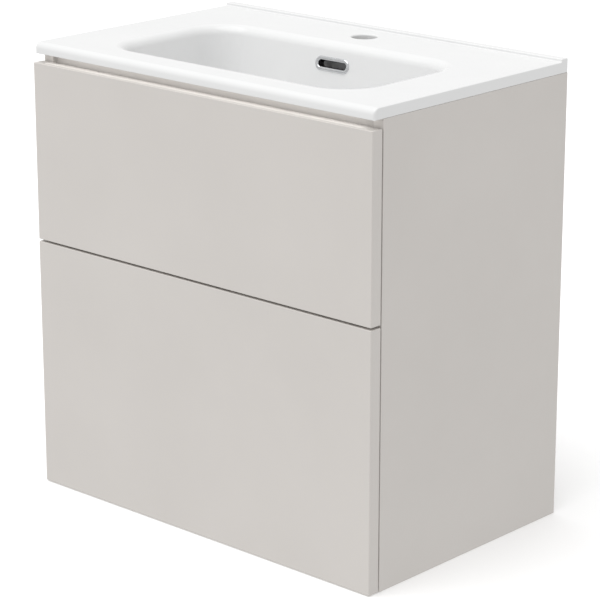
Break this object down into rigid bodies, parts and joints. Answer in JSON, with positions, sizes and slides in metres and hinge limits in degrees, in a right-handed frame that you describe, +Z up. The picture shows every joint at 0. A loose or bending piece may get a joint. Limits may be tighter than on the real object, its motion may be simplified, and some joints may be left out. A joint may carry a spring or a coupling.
{
  "type": "bathroom vanity cabinet",
  "caption": "Wall-hung bathroom vanity: handle-less drawers on telescopic runners under an inset ceramic basin with a soft rectangular bowl, tap hole and oblong overflow.",
  "frame": {"origin": "middle of the cabinet's underside, halfway between the drawer fronts' faces and the wall", "axes": "+X to the right as seen from the front, +Y towards the wall, +Z up"},
  "size_m": [0.6, 0.384, 0.629],
  "materials": {
    "lacquered_board": "matt lacquer, warm light grey",
    "drawer_board": "melamine-faced, light grey",
    "dowel_beech": "sanded",
    "glazed_ceramic": "glossy white glaze",
    "chrome": "polished",
    "zinc_steel": "bright zinc plate",
    "runner_steel": "galvanised",
    "hanger_plastic": "moulded",
    "bumper_silicone": "soft, translucent white"
  },
  "bodies": {
    "carcass": {"side_panel_left": "lacquered_board", "side_panel_right": "lacquered_board", "bottom_panel": "lacquered_board", "front_rail": "lacquered_board", "back_rail_upper": "lacquered_board", "back_rail_lower": "lacquered_board", "carcass_dowels": "dowel_beech", "carcass_cams": "zinc_steel", "hanger_left": "hanger_plastic", "hanger_right": "hanger_plastic", "hook_left": "zinc_steel", "hook_right": "zinc_steel", "hanger_screws": "zinc_steel", "adjuster_screws": "zinc_steel", "wall_plate_left": "zinc_steel", "wall_plate_right": "zinc_steel", "fixed_runner_screws": "zinc_steel", "basin": "glazed_ceramic", "overflow_ring": "chrome", "upper_fixed_runner_left": "runner_steel", "upper_fixed_runner_right": "runner_steel", "lower_fixed_runner_left": "runner_steel", "lower_fixed_runner_right": "runner_steel"},
    "upper_drawer": {"upper_front": "lacquered_board", "upper_box_side_left": "drawer_board", "upper_box_side_right": "drawer_board", "upper_box_back_left": "drawer_board", "upper_box_back_right": "drawer_board", "upper_recess_left": "drawer_board", "upper_recess_right": "drawer_board", "upper_recess_front": "drawer_board", "upper_box_bottom": "drawer_board", "upper_runner_screws": "zinc_steel", "upper_front_cams": "zinc_steel", "upper_box_screws": "zinc_steel", "upper_drawer_runner_left": "runner_steel", "upper_drawer_runner_right": "runner_steel", "upper_bumpers": "bumper_silicone"},
    "lower_drawer": {"lower_front": "lacquered_board", "lower_box_side_left": "drawer_board", "lower_box_side_right": "drawer_board", "lower_box_back": "drawer_board", "lower_box_bottom": "drawer_board", "lower_runner_screws": "zinc_steel", "lower_front_cams": "zinc_steel", "lower_box_screws": "zinc_steel", "lower_drawer_runner_left": "runner_steel", "lower_drawer_runner_right": "runner_steel", "lower_bumpers": "bumper_silicone"},
    "upper_middle_runners": {"upper_middle_runner_left": "runner_steel", "upper_middle_runner_right": "runner_steel"},
    "upper_outer_cages": {"upper_outer_ball_cages": "runner_steel"},
    "upper_inner_cages": {"upper_inner_ball_cages": "runner_steel"},
    "lower_middle_runners": {"lower_middle_runner_left": "runner_steel", "lower_middle_runner_right": "runner_steel"},
    "lower_outer_cages": {"lower_outer_ball_cages": "runner_steel"},
    "lower_inner_cages": {"lower_inner_ball_cages": "runner_steel"}
  },
  "joints": [
    {"name": "upper_drawer_slide", "type": "slide", "parent": "carcass", "child": "upper_drawer", "axis": [0, -1, 0], "range_m": [0, 0.3]},
    {"name": "upper_middle_runner_slide", "type": "slide", "parent": "carcass", "child": "upper_middle_runners", "axis": [0, -1, 0], "range_m": [0, 0.15]},
    {"name": "upper_outer_cage_slide", "type": "slide", "parent": "carcass", "child": "upper_outer_cages", "axis": [0, -1, 0], "range_m": [0, 0.075]},
    {"name": "upper_inner_cage_slide", "type": "slide", "parent": "carcass", "child": "upper_inner_cages", "axis": [0, -1, 0], "range_m": [0, 0.225]},
    {"name": "lower_drawer_slide", "type": "slide", "parent": "carcass", "child": "lower_drawer", "axis": [0, -1, 0], "range_m": [0, 0.3]},
    {"name": "lower_middle_runner_slide", "type": "slide", "parent": "carcass", "child": "lower_middle_runners", "axis": [0, -1, 0], "range_m": [0, 0.15]},
    {"name": "lower_outer_cage_slide", "type": "slide", "parent": "carcass", "child": "lower_outer_cages", "axis": [0, -1, 0], "range_m": [0, 0.075]},
    {"name": "lower_inner_cage_slide", "type": "slide", "parent": "carcass", "child": "lower_inner_cages", "axis": [0, -1, 0], "range_m": [0, 0.225]}
  ],
  "couplings": [
    {"joint": "upper_middle_runner_slide", "follows": "upper_drawer_slide", "ratio": 0.5},
    {"joint": "upper_outer_cage_slide", "follows": "upper_drawer_slide", "ratio": 0.25},
    {"joint": "upper_inner_cage_slide", "follows": "upper_drawer_slide", "ratio": 0.75},
    {"joint": "lower_middle_runner_slide", "follows": "lower_drawer_slide", "ratio": 0.5},
    {"joint": "lower_outer_cage_slide", "follows": "lower_drawer_slide", "ratio": 0.25},
    {"joint": "lower_inner_cage_slide", "follows": "lower_drawer_slide", "ratio": 0.75}
  ]
}
